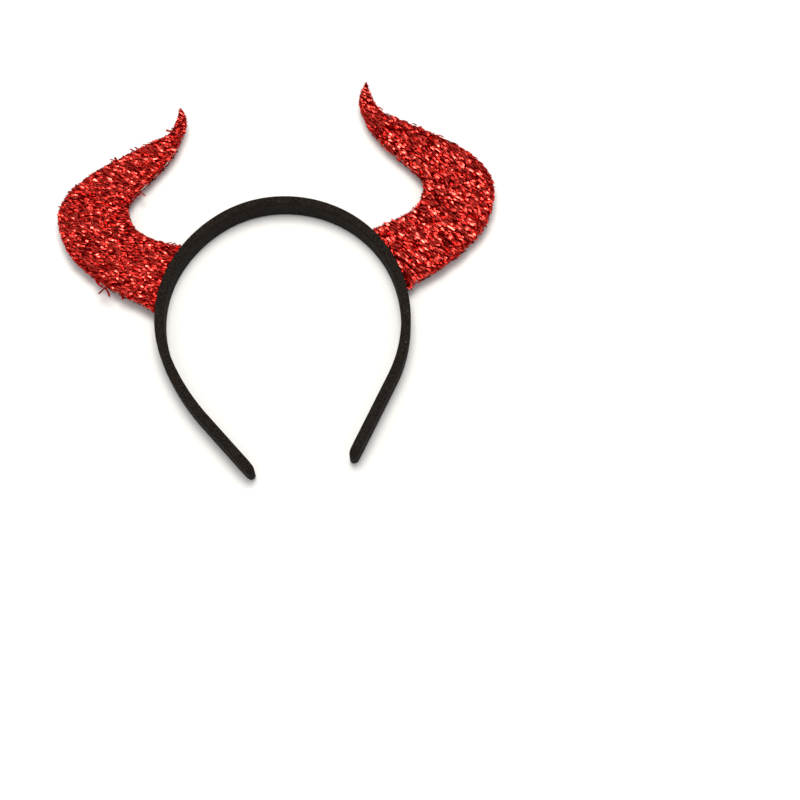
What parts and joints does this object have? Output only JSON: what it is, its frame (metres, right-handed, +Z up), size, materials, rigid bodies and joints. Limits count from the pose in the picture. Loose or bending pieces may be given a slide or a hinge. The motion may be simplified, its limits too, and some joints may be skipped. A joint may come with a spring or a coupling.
{
  "type": "devil-horn headband",
  "caption": "Springy cloth-covered hair hoop with flat, hooked tinsel horns standing out of its shoulders, worn over the head as a devil costume.",
  "frame": {"origin": "middle of the crown's lower edge, on the surface the headband lies on", "axes": "+X from the left horn to the right one, as seen from above; +Y out through the crown, away from the arms; +Z up, across the strip's width"},
  "size_m": [0.2269, 0.2079, 0.015],
  "materials": {
    "band_cloth": "matte, fine ribs across the strip",
    "tinsel_cloth": "glittering, short metallic tinsel pile",
    "pale_sheet": "matte, felted"
  },
  "bodies": {
    "root": {"band": "band_cloth", "horn_left_front": "tinsel_cloth", "horn_left_core": "pale_sheet", "horn_left_back": "tinsel_cloth", "horn_right_front": "tinsel_cloth", "horn_right_core": "pale_sheet", "horn_right_back": "tinsel_cloth"}
  },
  "joints": []
}
